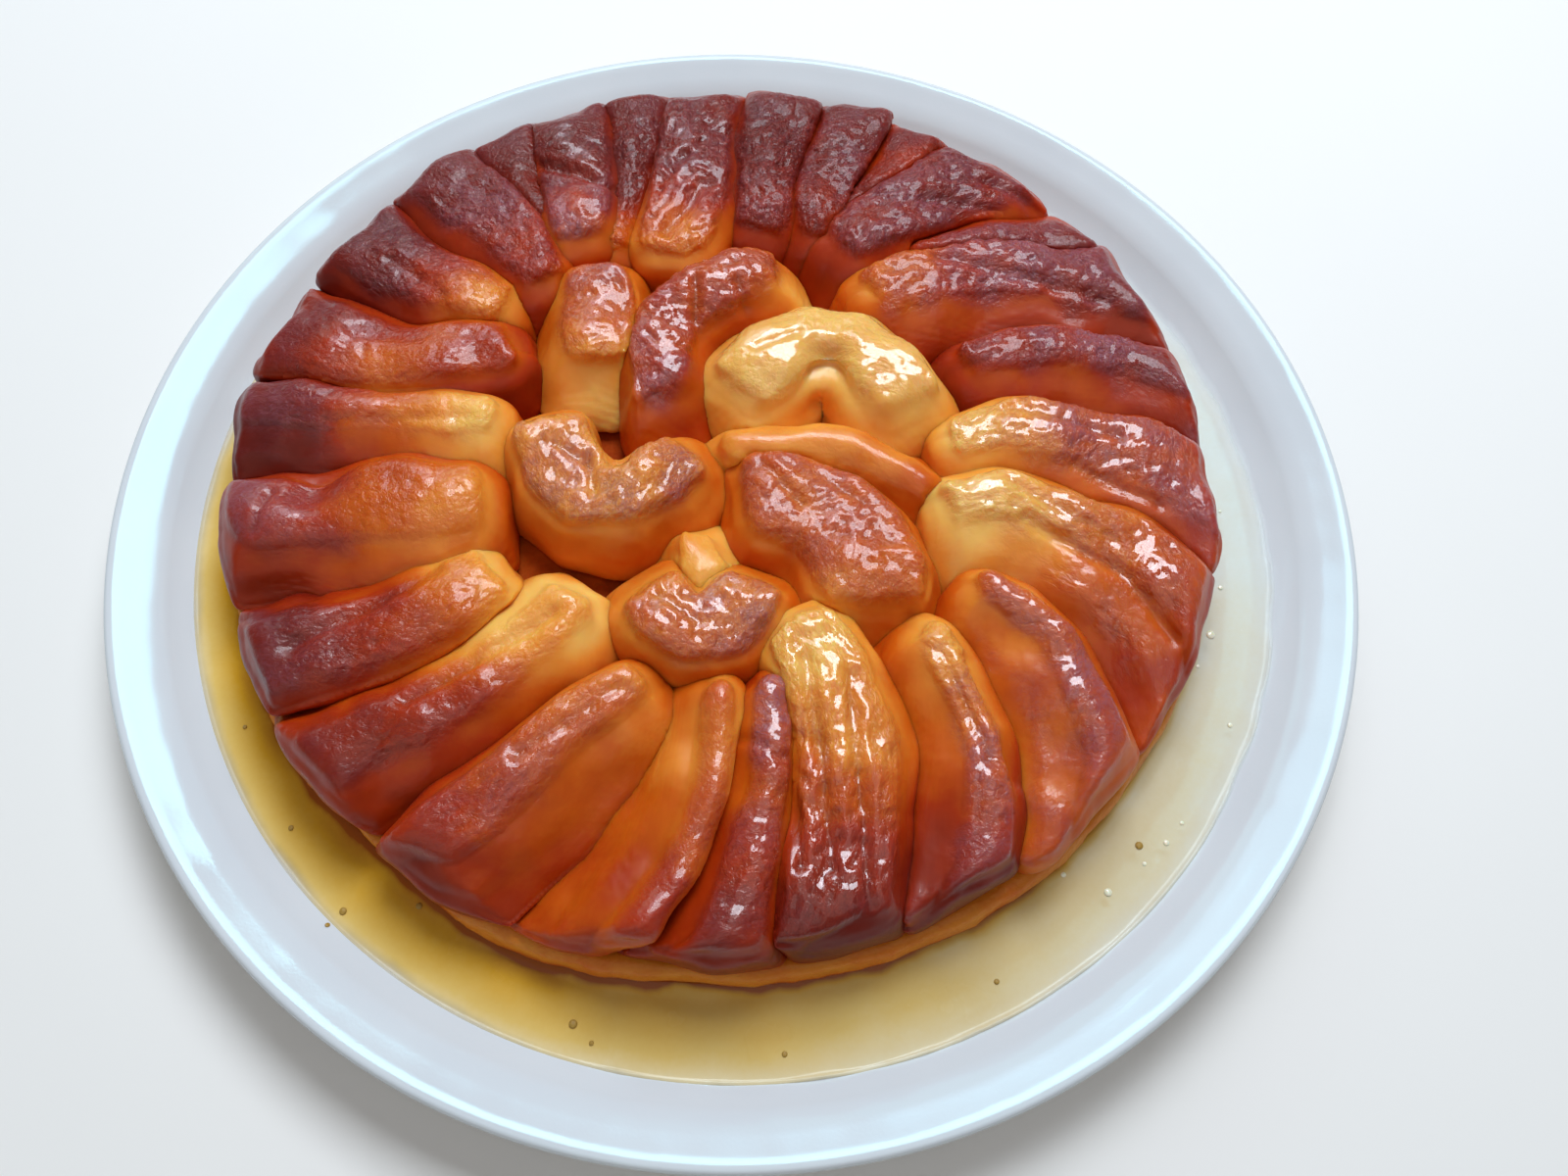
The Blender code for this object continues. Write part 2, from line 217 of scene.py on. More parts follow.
class Shader:
    """A material made by calls: each call adds one node."""

    def __init__(self, name):
        self.material = bpy.data.materials.new(name)
        self.material.use_nodes = True
        self.tree = self.material.node_tree
        self.surface = self.tree.nodes["Principled BSDF"]

    def node(self, kind, settings=None, inputs=None, output=0):
        """Add a node. Its settings are set first, then the values or links of its sockets."""
        node = self.tree.nodes.new(kind)
        for name, value in (settings or {}).items():
            if name == "stops":
                self.set_stops(node.color_ramp, value)
            else:
                setattr(node, name, value)
        self.feed(node, inputs or {})
        return Value(self, node.outputs[output])

    def set_stops(self, color_ramp, stops):
        while len(color_ramp.elements) < len(stops):
            color_ramp.elements.new(1)
        for element, (place, colour) in zip(color_ramp.elements, stops):
            element.position = place
            element.color = (*colour, 1)

    def feed(self, node, inputs):
        for name, value in inputs.items():
            if isinstance(value, Value):
                self.tree.links.new(value.socket, node.inputs[name])
            else:
                node.inputs[name].default_value = value

    def finish(self, **inputs):
        """Feed the surface. An underscore in a name stands for a space."""
        self.feed(self.surface, {name.replace("_", " "): value for name, value in inputs.items()})
        return self.material

    def place(self, scale=(1, 1, 1), of=None):
        """Object coordinates, or a vector attribute, stretched."""
        if of is None:
            of = self.node("ShaderNodeTexCoord", output="Object")
        return self.node("ShaderNodeMapping", None, {"Vector": of, "Scale": scale})

    def painted(self, name, output="Fac"):
        return self.node("ShaderNodeAttribute", {"attribute_name": name}, None, output)

    def noise(self, place, size, detail=3, rough=0.5, warp=0.0):
        """Noise with lumps of a size in mm, from 0 to 1."""
        return self.node("ShaderNodeTexNoise", None, {
            "Vector": place, "Scale": 1 / (size * MM), "Detail": detail, "Roughness": rough,
            "Distortion": warp})

    def cells(self, place, size):
        """Distance to the nearest edge of irregular cells of a size in mm."""
        return self.node("ShaderNodeTexVoronoi", {"feature": "DISTANCE_TO_EDGE"}, {
            "Vector": place, "Scale": 1 / (size * MM)}, "Distance")

    def rise(self, value, low, high, to_low=0.0, to_high=1.0):
        """A smooth step from to_low to to_high as the value passes from low to high."""
        return self.node("ShaderNodeMapRange", {"interpolation_type": "SMOOTHSTEP"}, {
            "Value": value, "From Min": low, "From Max": high, "To Min": to_low, "To Max": to_high})

    def mix(self, share, first, second):
        """From the first colour to the second as share goes from 0 to 1."""
        return self.node("ShaderNodeMix", {"data_type": "RGBA"}, {0: share, 6: first, 7: second}, 2)

    def colours(self, value, *stops):
        return self.node("ShaderNodeValToRGB", {"stops": stops}, {"Fac": value})

    def bump(self, height, depth):
        """A normal from a height of 0 to 1, where 1 is depth mm."""
        return self.node("ShaderNodeBump", None, {"Height": height, "Distance": depth * MM, "Strength": 1.0})


def srgb(red, green, blue):
    """A colour as an eye would name it, 0 to 255, in the linear numbers that shaders use."""
    shares = (red / 255, green / 255, blue / 255)
    return tuple(s / 12.92 if s <= 0.04045 else ((s + 0.055) / 1.055) ** 2.4 for s in shares)


# ---------------------------------------------------------------- fruit material

# From pale and barely coloured to nearly burnt
BROWNING = (
    (0.00, srgb(248, 192, 98)),
    (0.16, srgb(238, 154, 56)),
    (0.34, srgb(208, 98, 14)),
    (0.54, srgb(172, 50, 3)),
    (0.74, srgb(124, 24, 5)),
    (1.00, srgb(78, 16, 10)),
)
# Pale dried skin with a painted mauve sheen on it: the window's bluish reflection on the wrinkled tops,
# painted into the colour
SKIN_AND_SHEEN = (*srgb(156, 98, 110), 1)


def make_fruit_material():
    """Soft fruit soaked in caramel: glowing flanks and a finely wrinkled, sticky top, whose colour mixes in
    pale skin with a painted mauve sheen.
    """
    shader = Shader("fruit")
    tone = shader.painted("tone")
    crest = shader.painted("crest")
    gloss = shader.painted("gloss")
    veil = shader.painted("veil")
    grain = shader.painted("grain", "Vector")
    here = shader.place()
    cloud = shader.noise(here, 9, detail=4)
    streak = shader.noise(shader.place((0.25, 1, 1), of=grain), 1.8, detail=4, rough=0.6)
    freckle = shader.noise(here, 0.8, detail=2)
    depth = tone + (cloud - 0.5) * 0.22 + (streak - 0.5) * crest * 0.16 + (freckle - 0.5) * crest * 0.08
    flesh = shader.colours(depth, *BROWNING)
    crinkle = shader.noise(grain, 1.1, detail=2, rough=0.55, warp=1.2)
    # Where pale skin with a painted mauve sheen shows on the top, mostly on the rises of the wrinkles
    skin_and_sheen_share = veil * shader.rise(cloud, 0.34, 0.6, 0.2, 0.9) * shader.rise(crinkle, 0.42, 0.58, 0.55, 1.0)
    colour = shader.mix(skin_and_sheen_share, flesh, SKIN_AND_SHEEN)
    cracks = shader.rise(shader.cells(shader.place(of=grain), 2.2), 0.0, 0.30)
    height = (crinkle * 0.9 + cracks * 0.3) * crest + shader.noise(here, 4.0, detail=1) * 0.25
    return shader.finish(
        Base_Color=colour,
        Roughness=shader.rise(crest, 0, 1, 0.36, 0.30) - gloss * 0.10,
        Specular_Tint=(1.0, 0.88, 0.80, 1),
        Normal=shader.bump(height, 0.85),
        Specular_IOR_Level=0.34,
        Subsurface_Weight=0.85,
        Subsurface_Radius=(1.0, 0.50, 0.20),
        Subsurface_Scale=0.005,
        Coat_Weight=gloss * 0.9,
        Coat_Roughness=0.05,
        Coat_IOR=1.6,
    )


# ---------------------------------------------------------------- fruit wedges

# How each wedge looks. brown is how far its top is browned at its inner end, middle and outer end,
# flank is how much browner its sides are, fold is how deep its top is wrinkled, in mm, lie is above
# 0 where the wrinkles run along it and below 0 where they run across, the next three numbers say how
# much pale skin, with a painted mauve sheen on it, shows at its inner end, middle and outer end, and
# gloss is how sticky and shiny its top is.
Look = namedtuple("Look", "brown flank fold lie veil gloss")
OUTER_LOOKS = (
    Look((0.16, 0.64, 0.80), 0.04, 0.22, 0.3, (0.0, 0.1, 0.5), 0.5),
    Look((0.48, 0.62, 0.74), -0.04, 0.25, 0.0, (0.0, 0.1, 0.2), 0.38),
    Look((0.44, 0.78, 0.86), -0.08, 0.35, 0.3, (0.0, 0.2, 0.3), 0.3),
    Look((0.52, 0.68, 0.82), -0.06, 0.45, 0.3, (0.1, 0.5, 0.3), 0.22),
    Look((0.70, 0.84, 0.84), -0.08, 0.25, 0.0, (0.0, 0.0, 0.3), 0.12),
    Look((0.52, 0.82, 0.84), -0.08, 0.35, 0.0, (1.0, 0.1, 0.3), 0.40),
    Look((0.56, 0.84, 0.86), -0.10, 0.45, 0.3, (0.0, 0.1, 0.3), 0.18),
    Look((0.40, 0.76, 0.82), -0.08, 0.60, 0.5, (0.0, 0.3, 0.3), 0.42),
    Look((0.66, 0.84, 0.84), -0.10, 0.50, 0.0, (0.4, 0.1, 0.3), 0.18),
    Look((0.68, 0.78, 0.84), -0.12, 0.45, 0.0, (0.0, 0.4, 0.3), 0.18),
    Look((0.70, 0.74, 0.80), -0.10, 0.35, 0.0, (0.1, 0.1, 0.2), 0.15),
    Look((0.66, 0.74, 0.80), -0.12, 0.50, 0.5, (0.4, 0.5, 0.3), 0.25),
    Look((0.60, 0.70, 0.78), -0.10, 0.40, 0.0, (0.3, 0.6, 0.3), 0.2),
    Look((0.52, 0.62, 0.76), -0.10, 0.45, 0.3, (0.1, 0.8, 0.5), 0.38),
    Look((0.66, 0.60, 0.74), -0.12, 0.40, 0.0, (0.0, 1.0, 0.5), 0.35),
    Look((0.10, 0.36, 0.54), 0.02, 0.45, -0.4, (0.1, 0.7, 0.6), 0.9),
    Look((0.02, 0.30, 0.50), 0.06, 0.40, 0.6, (0.1, 0.3, 0.2), 1.0),
    Look((0.34, 0.46, 0.46), -0.08, 0.30, -0.6, (0.1, 0.7, 0.4), 1.0),
    Look((0.12, 0.36, 0.70), 0.04, 0.35, -0.4, (0.1, 0.7, 0.3), 0.9),
    Look((0.08, 0.30, 0.72), 0.06, 0.60, 0.8, (0.0, 0.1, 0.1), 1.0),
    Look((0.44, 0.48, 0.70), -0.04, 0.35, -0.6, (1.0, 0.3, 0.1), 0.9),
    Look((0.32, 0.44, 0.58), -0.08, 0.20, 0.0, (0.1, 0.2, 0.1), 0.5),
    Look((0.24, 0.40, 0.60), 0.02, 0.26, 0.4, (0.1, 0.3, 0.1), 0.5),
    Look((0.14, 0.60, 0.70), -0.12, 0.22, 0.4, (0.0, 0.1, 0.1), 0.4),
    Look((0.24, 0.56, 0.74), -0.08, 0.26, 0.3, (0.0, 0.1, 0.3), 0.36),
    Look((0.34, 0.50, 0.68), -0.04, 0.20, 0.0, (0.0, 0.0, 0.6), 0.42),
)
INNER_LOOKS = (
    Look((0.26, 0.22, 0.22), 0.02, 0.45, -0.3, (0.7, 0.5, 0.5), 0.7),
    Look((0.28, 0.38, 0.40), -0.06, 0.35, 0.3, (0.0, 0.3, 0.7), 0.6),
    Look((0.44, 0.50, 0.40), -0.06, 0.45, -0.4, (0.7, 0.2, 0.2), 0.8),
    Look((0.06, 0.00, 0.06), 0.04, 0.22, 0.3, (0.1, 0.1, 0.1), 1.0),
    Look((0.16, 0.18, 0.34), 0.04, 0.08, 0.5, (0.0, 0.0, 0.0), 0.30),
    Look((0.36, 0.38, 0.36), -0.04, 0.35, -0.2, (0.5, 0.4, 0.1), 0.48),
    Look((0.40, 0.36, 0.28), -0.06, 0.40, -0.2, (0.8, 0.5, 0.1), 0.9),
    Look((0.02, 0.10, 0.18), 0.04, 0.10, 0.0, (0.0, 0.0, 0.0), 0.2),
)

# Places on a wedge that are browner, or paler, than the rest of it: x, y, radius, change
SPOTS = {
    "fruit_outer_01": ((-68, 5, 13, -0.22), (-88, 4, 11, -0.26), (-108, 2, 10, 0.06)),
    "fruit_outer_02": ((-90, 16, 12, -0.30), (-75, 30, 8, -0.05)),
    "fruit_outer_03": ((-71, 43, 9, -0.36), (-84, 48, 7, -0.12)),
    "fruit_outer_06": ((-49, 66, 9, -0.10),),
    "fruit_outer_07": ((-40, 68, 8, -0.20),),
    "fruit_outer_08": ((-23, 68, 9, -0.22),),
    "fruit_outer_09": ((-12, 75, 4, 0.15), (5, 80, 7, -0.08)),
    "fruit_outer_11": ((35, 98, 8, -0.16),),
    "fruit_outer_12": ((63, 84, 10, -0.16),),
    "fruit_outer_14": ((36, 62, 8, -0.26), (28, 56, 6, -0.20)),
    "fruit_outer_16": ((56, 16, 12, -0.12), (80, 16, 9, 0.06)),
    "fruit_outer_17": ((50, -12, 14, -0.18), (70, -8, 9, -0.10)),
    "fruit_outer_20": ((20, -48, 10, -0.12), (30, -70, 9, -0.10)),
    "fruit_outer_22": ((-6, -72, 10, -0.12),),
    "fruit_outer_24": ((-42, -40, 11, -0.20), (-52, -50, 9, -0.30), (-62, -60, 7, -0.16)),
    "fruit_outer_25": ((-60, -28, 10, -0.16), (-74, -40, 6, 0.12), (-96, -50, 9, 0.10)),
    "fruit_outer_26": ((-64, -18, 10, -0.14), (-82, -22, 9, -0.10)),
    "fruit_inner_02": ((-38, 13, 13, -0.34),),
    "fruit_inner_03": ((12, 53, 7, -0.36), (-18, 20, 8, 0.14)),
    "fruit_inner_06": ((4, 6, 8, 0.06), (24, -34, 10, -0.10)),
    "fruit_inner_07": ((-4, -30, 5, -0.16), (6, -36, 8, -0.10)),
}

# Creases, slots and notches in a wedge's top: start, end, width, depth
CREASES = {
    "fruit_outer_01": (((-66, 6), (-98, 2), 1.5, 0.8),),
    "fruit_outer_03": (((-78, 40), (-92, 50), 1.6, 1.0),),
    "fruit_outer_06": (((-64, 86), (-42, 80), 1.6, 1.8),),
    "fruit_outer_08": (((-26, 66), (-18, 82), 2.0, 1.4), ((-30, 80), (-24, 92), 1.6, 1.0)),
    "fruit_outer_09": (((-12, 71), (-12, 79), 2.2, 3.5),),
    "fruit_outer_10": (((21, 76), (25, 87), 2.2, 3.5),),
    "fruit_outer_12": (((40, 84), (72, 84), 1.8, 1.2), ((52, 94), (78, 88), 1.6, 1.0)),
    "fruit_outer_14": (((44, 66), (88, 58), 1.8, 1.2),),
    "fruit_outer_16": (((60, 22), (88, 16), 1.6, 1.2), ((78, 8), (98, 0), 1.4, 1.0)),
    "fruit_outer_17": (
        ((62, 0), (86, -12), 1.3, 1.0), ((66, -8), (90, -20), 1.5, 1.4), ((84, -14), (100, -34), 1.3, 1.0)),
    "fruit_outer_19": (((47, -44), (58, -66), 1.3, 1.3), ((53, -44), (64, -70), 1.2, 1.0)),
    "fruit_outer_20": (
        ((18, -48), (22, -70), 1.5, 1.6), ((22, -66), (26, -92), 1.3, 1.6), ((27, -50), (31, -78), 1.3, 1.4),
        ((31, -72), (34, -98), 1.2, 1.4), ((16, -72), (20, -92), 1.2, 1.2)),
    "fruit_outer_21": (((6, -66), (14, -70), 1.2, 0.8),),
    "fruit_outer_23": (((-22, -58), (-40, -74), 1.5, 1.0),),
    "fruit_outer_24": (((-38, -42), (-66, -64), 1.8, 1.8),),
    "fruit_outer_25": (((-66, -34), (-92, -54), 2.2, 1.8), ((-92, -40), (-104, -48), 1.6, 1.0)),
    "fruit_outer_26": (((-97, -11), (-97, -17), 6.0, 4.0), ((-106, -18), (-107, -28), 1.2, 1.0)),
    "fruit_inner_01": (
        ((-36, -2), (-33, -13), 1.0, 1.6), ((-44, 0), (-36, -4), 1.0, 1.2), ((-30, 6), (-29, -2), 3.0, 2.5)),
    "fruit_inner_03": (((-16.5, 49.5), (-15, 39), 1.1, 1.8), ((-6, 50), (-2, 42), 1.4, 1.2)),
    "fruit_inner_04": (((17.5, 30), (17.5, 19), 4.5, 5.0), ((0, 30), (10, 36), 1.4, 1.0)),
    "fruit_inner_06": (((4, 0), (14, -10), 1.2, 1.0), ((18, -2), (28, -8), 1.2, 0.8)),
    "fruit_inner_07": (((-16, -36), (-6, -42), 1.2, 1.0),),
}

# Wedges whose top runs softly into their flanks, and how much it is rounded
ROUNDED = {"wedge_inner_02": 0.9, "wedge_inner_04": 0.45, "wedge_inner_06": 0.15, "wedge_inner_07": 0.35}

# A wedge's crest is its flat top. lean is how far it tips towards the broad flank, edge is how far
# below the highest part it starts to fade and where it ends, fray is how ragged that edge is, all in
# mm, and evened is how many times the edge is then evened out.
Crest = namedtuple("Crest", "lean edge fray evened")
RING_CREST = Crest(3.4, (1.2, 3.6), 0.9, 4)
ROSETTE_CREST = Crest(1.2, (1.9, 5.2), 1.4, 8)

VOXEL = 0.78                    # mm between the points of a wedge's mesh
LOOK_PLACES = (0.06, 0.5, 0.9)  # where along a wedge its three numbers hold
FULL_FOLD = 0.45                # mm of fold at which a top is as finely wrinkled as it gets
SLICE = 1.5                     # mm of a wedge's length that is looked at together
NEARBY = 7                      # mm around a point in which its crest is looked for
CREST_DOME = 0.6                # mm that a crest's edges lie lower than its middle
RIDGE_AT = 1.8                  # mm below the crest, where its edge stands up a little
RIDGE_HEIGHT = 0.25             # mm
FLANK = (1.8, 4.6)              # mm below the crest over which the flank begins to be rounded
OUTER_END = (102, 111)          # mm from the tart's centre over which the outer end is rounded too
NOSE = (103, 113)               # mm from the tart's centre over which the outer end loses its crest
PRESSED = (30, 70)              # mm behind the middle of the plate over which wedges press together
LOOSE_ROUNDS = 40               # times that the flanks of a loose wedge are smoothed
PRESSED_ROUNDS = 14             # and those of a pressed one, which keeps its shape
RING_SWELL = 1.5                # mm that the flanks of a ring wedge swell, but not its outer end
PRESSED_SWELL = 0.8             # mm more for a pressed one, all the way out
ROSETTE_SWELL = 2.2             # mm for a wedge of the rosette
FOLDS = ((4.2, 200), (2.0, 300))          # sizes in mm, and what is added to the wedge's seed
LUMPS = ((14, 0.80, 0), (8, 0.35, 100))   # size and height in mm, and what is added to the seed


def wedge_grain(points):
    """Place on a wedge, in metres: along its bowed length, across it, and up. Also 0 to 1 along it."""
    plan = points[:, :2]
    middle = plan.mean(axis=0)
    ways = np.linalg.eigh(np.cov((plan - middle).T))[1]
    along_way = ways[:, 1]
    if along_way @ (middle - (TART_X, TART_Y)) < 0:
        along_way = -along_way
    across_way = np.array((-along_way[1], along_way[0]))
    along = (plan - middle) @ along_way
    across = (plan - middle) @ across_way
    across = across - np.polyval(np.polyfit(along, across, 2), along)
    share = (along - along.min()) / np.ptp(along)
    return np.column_stack((along, across, points[:, 2])), share


def slice_highest(grain, values, chosen):
    """The highest value among the chosen points of each slice of a wedge, smoothed along it."""
    along = grain[:, 0] / MM
    cut = ((along - along.min()) / SLICE).astype(int)
    tops = np.full(cut.max() + 1, -np.inf)
    np.maximum.at(tops, cut[chosen], values[chosen])
    found = np.flatnonzero(np.isfinite(tops))
    tops = np.interp(np.arange(len(tops)), found, tops[found])
    tops = np.convolve(np.pad(tops, 2, mode="edge"), np.ones(5) / 5, mode="valid")
    return np.interp(along, along.min() + SLICE * (np.arange(len(tops)) + 0.5), tops)


def below_crest(points):
    """How far each point lies below the highest part of the wedge around it, in mm."""
    cell = ((points[:, :2] - points[:, :2].min(axis=0)) / MM).astype(int) + NEARBY
    tops = np.zeros(cell.max(axis=0) + NEARBY + 1)
    np.maximum.at(tops, tuple(cell.T), points[:, 2] / MM)
    roof = tops.copy()
    for shift in itertools.product(range(-NEARBY, NEARBY + 1), repeat=2):
        if math.hypot(*shift) <= NEARBY:
            roof = np.maximum(roof, np.roll(tops, shift, axis=(0, 1)))
    for axis in (0, 1, 0, 1):
        roof = (np.roll(roof, 1, axis) + roof + np.roll(roof, -1, axis)) / 3
    return np.maximum(roof[tuple(cell.T)] - points[:, 2] / MM, 0)


def lean_over(points, grain, below, normals, lean):
    """Tip the flat crest towards the wedge's broad flank, so that its steep side keeps a ridge."""
    across = grain[:, 1]
    on_crest = (below < 1.1) & (normals[:, 2] > 0.6)
    left = slice_highest(grain, across, on_crest)
    right = -slice_highest(grain, -across, on_crest)
    centre = (left + right) / 2
    half = np.maximum((left - right) / 2, 2.5 * MM)
    gentle = (normals[:, 2] > 0.35) & (below > 3)
    lopsided = np.mean(np.sign(across[gentle] - centre[gentle])) if gentle.any() else 0
    broad = np.sign(lopsided)
    place = np.clip(-broad * (across - centre) / half, -1, 1)
    base = points[:, 2].min()
    height = np.clip((points[:, 2] - base) / (12 * MM), 0, 1)
    drop = (abs(lopsided) * lean * ((1 - place) / 2) ** 1.5 + CREST_DOME * place ** 2) * MM * height
    return points - drop[:, None] * (0, 0, 1)


def soften(piece, weights, iterations):
    """Smooth a mesh where the weights, from 0 to 1, say so. They are rounded to a few steps."""
    steps = 5
    group = piece.vertex_groups.new(name="soft")
    levels = np.round(weights * steps).astype(int)
    for level in range(1, steps + 1):
        group.add(np.flatnonzero(levels == level).tolist(), level / steps, "REPLACE")
    apply_modifier(piece, "SMOOTH", factor=0.5, iterations=iterations, vertex_group="soft")
    piece.vertex_groups.clear()


def spread(piece, values, times):
    """Even out values between neighbouring points of a mesh."""
    ends = np.empty(len(piece.data.edges) * 2, np.int32)
    piece.data.edges.foreach_get("vertices", ends)
    first, second = ends.reshape(-1, 2).T
    size = len(values)
    count = np.bincount(first, minlength=size) + np.bincount(second, minlength=size)
    for _ in range(times):
        total = np.bincount(first, values[second], size) + np.bincount(second, values[first], size)
        values = (values + total / count) / 2
    return values


def rounded_patch(grain, crest):
    """1 inside a rounded patch as long and as wide as the crest, and 0 in its far corners."""
    beyond = 0
    for place in (grain[:, 0], grain[:, 1]):
        low, high = np.percentile(place[crest > 0.5], (2, 98))
        beyond = beyond + np.abs((2 * place - low - high) / (high - low)) ** 2.4
    return 1 - ramp(0.85, 1.5, beyond)


def warp(points):
    """Bend the whole fan a little, so that no edge in it is straight. Neighbours bend together."""
    lift = ramp(17 * MM, 30 * MM, points[:, 2])
    shift = np.column_stack((bumps(points, 22, 801), bumps(points, 22, 802), bumps(points, 16, 803) * lift))
    return points + shift * np.array((2.2, 2.2, 1.5)) * MM


def round_rim(points, seed):
    """Let the outer wedges' ends slump: their tops fall away and their corners draw in."""
    rng = np.random.default_rng(seed)
    offset = points[:, :2] - (TART_X, TART_Y)
    radius = np.hypot(*offset.T) / MM
    angle = np.arctan2(offset[:, 1], offset[:, 0])
    end = radius > 100
    middle = angle[end].mean() if np.ptp(angle[end]) < 3 else math.pi
    turn = np.abs((angle - middle + math.pi) % math.tau - math.pi)
    side = turn / turn[end].max()
    near = ramp(94, 116, radius)
    loose = 1 - 0.7 * max(math.sin(middle), 0)
    radius += near * (rng.uniform(0.8, 2.0) - 0.8 * loose * side ** 3)
    base = points[:, 2].min()
    fall = (0.03 + loose * rng.uniform(-0.05, 0.05)) * ramp(98, 118, radius) + 0.04 * loose * side ** 2 * near
    points = points.copy()
    points[:, 0] = TART_X + radius * MM * np.cos(angle)
    points[:, 1] = TART_Y + radius * MM * np.sin(angle)
    points[:, 2] = base + (points[:, 2] - base) * (1 - fall)
    return points


class Wedge:
    """A wedge in the making: its mesh, and numbers for each point of it."""

    def __init__(self, node, look, seed):
        self.look = look
        self.seed = seed
        self.in_ring = "outer" in node
        self.kind = RING_CREST if self.in_ring else ROSETTE_CREST
        self.piece = copy_node(node, node.replace("wedge", "fruit"))
        apply_modifier(self.piece, "REMESH", mode="VOXEL", voxel_size=VOXEL * MM)
        apply_modifier(self.piece, "SMOOTH", factor=0.5, iterations=4)
        points = points_of(self.piece)
        self.grain, self.share = wedge_grain(points)
        self.pressed = ramp(*PRESSED, points[:, 1].mean() / MM) if self.in_ring else 0
        self.round_off(points, ROUNDED.get(node, 0))
        self.slump()
        self.find_crest()

    def round_off(self, points, least):
        """Round the flanks and the outer end, and the top by at least a share."""
        flank = ramp(*FLANK, below_crest(points))
        outer_end = 0.5 * (1 - self.pressed) * ramp(*OUTER_END, from_centre(points))
        weights = np.maximum(np.maximum(flank, outer_end), least)
        soften(self.piece, weights, round(LOOSE_ROUNDS + (PRESSED_ROUNDS - LOOSE_ROUNDS) * self.pressed))

    def slump(self):
        """Tip the crest, let the outer end sink and bend the whole. The underside stays on the pastry."""
        points = points_of(self.piece)
        self.grain[:, 2] = points[:, 2]
        points = lean_over(points, self.grain, below_crest(points), normals_of(self.piece), self.kind.lean)
        self.grain[:, 2] = points[:, 2]
        self.below = below_crest(points)
        if self.in_ring:
            points = round_rim(points, self.seed)
        underside = points[:, 2].min()
        points = warp(points)
        points[:, 2] = np.maximum(points[:, 2], underside)
        move_points(self.piece, points)
        self.points = points
        self.normals = normals_of(self.piece)
        self.facing_up = self.normals[:, 2]
        self.nose = ramp(*NOSE, from_centre(points))

    def find_crest(self):
        """1 on the flat top and 0 on the flanks, with an uneven, soft edge between them."""
        frayed = self.below + self.kind.fray * bumps(self.points, 7, self.seed + 500)
        crest = (1 - ramp(*self.kind.edge, frayed)) * ramp(0.1, 0.5, self.facing_up)
        if not self.in_ring:
            crest = crest * rounded_patch(self.grain, crest)
        self.crest = spread(self.piece, crest, self.kind.evened)

    def swelling(self):
        """How far the flanks swell, in mm, so that they close the gaps between neighbours."""
        if self.in_ring:
            return (RING_SWELL * (1 - self.nose) + PRESSED_SWELL * self.pressed) * ramp(2, 8, self.below)
        return ROSETTE_SWELL * ramp(4, 14, self.below)

    def folding(self):
        """The crest's wrinkles, in mm: broad folds with finer ones between them."""
        lie = self.look.lie
        self.grain = self.grain * (2 ** -max(lie, 0), 2 ** min(lie, 0), 1)
        folds = sum(0.8 * (1 - 2.2 * np.abs(bumps(self.grain, size, self.seed + extra)))
                    for size, extra in FOLDS)
        return self.look.fold * (folds - 0.7) * self.crest * (1 - 0.75 * self.nose)

    def wrinkle(self):
        """Push every point along its normal: lumps, swelling, folds, then creases cut in."""
        steep = 1 - ramp(0.15, 0.5, self.facing_up)
        hollow = ramp(1.4, 4.5, self.below) * (1 - steep) * (1 - self.pressed)
        lumps = sum(height * bumps(self.points, size, self.seed + extra) for size, height, extra in LUMPS)
        ridge = RIDGE_HEIGHT * np.exp(-((self.below - RIDGE_AT) / 0.9) ** 2)
        push = 0.25 + 0.40 * steep + lumps + self.swelling() + ridge - 0.5 * hollow + self.folding()
        for start, end, width, depth in CREASES.get(self.piece.name, ()):
            near = line_distance(self.points, start, end)
            push -= depth * np.exp(-(near / (width * MM)) ** 2) * ramp(0.0, 0.5, self.facing_up)
        height = (self.points[:, 2] - self.points[:, 2].min()) / MM
        push *= ramp(0.2, 2, height)
        move_points(self.piece, self.points + self.normals * push[:, None] * MM)

    def brown(self):
        """Paint on how browned, wrinkled, shiny and pale each place is, with painted shade low in the gaps
        between wedges and a painted mauve sheen where the pale skin shows.
        """
        look = self.look
        top = self.crest * (1 - 0.5 * self.nose)
        tone = np.interp(self.share, LOOK_PLACES, look.brown)
        tone += (look.flank - 0.06) * (1 - self.crest) + 0.06 * bumps(self.points, 11, self.seed + 400)
        # Painted shade: the further a point lies below the crest, down in the gaps between wedges, the darker
        # it is; less at the outer ends and where wedges press together
        gap_shade = 0.26 - 0.16 * self.nose - 0.12 * self.pressed if self.in_ring else 0.10
        tone += gap_shade * ramp(2, 9, self.below)
        for x, y, radius, change in SPOTS.get(self.piece.name, ()):
            away = np.hypot(self.points[:, 0] / MM - x, self.points[:, 1] / MM - y)
            tone += change * np.exp(-(away / radius) ** 2)
        paint(self.piece, "tone", tone)
        paint(self.piece, "crest", top * min(1, look.fold / FULL_FOLD) * (1 - 0.3 * look.gloss))
        paint(self.piece, "gloss", (0.10 * (1 - self.nose) + 0.90 * top) * look.gloss)
        # How much pale skin with a painted mauve sheen shows on the crest, along the wedge
        paint(self.piece, "veil", np.interp(self.share, LOOK_PLACES, look.veil) * self.crest)
        # Each wedge reads its own part of the pattern
        paint(self.piece, "grain", self.grain + self.seed * 0.05)


def make_wedge(node, look, seed, material):
    """A soft wedge: the frame's solid, rounded, then wrinkled on top and browned by place, with painted shade
    in its gaps and painted sheen on its top.
    """
    wedge = Wedge(node, look, seed)
    wedge.wrinkle()
    wedge.brown()
    finish_piece(wedge.piece, material, "fruit", node)


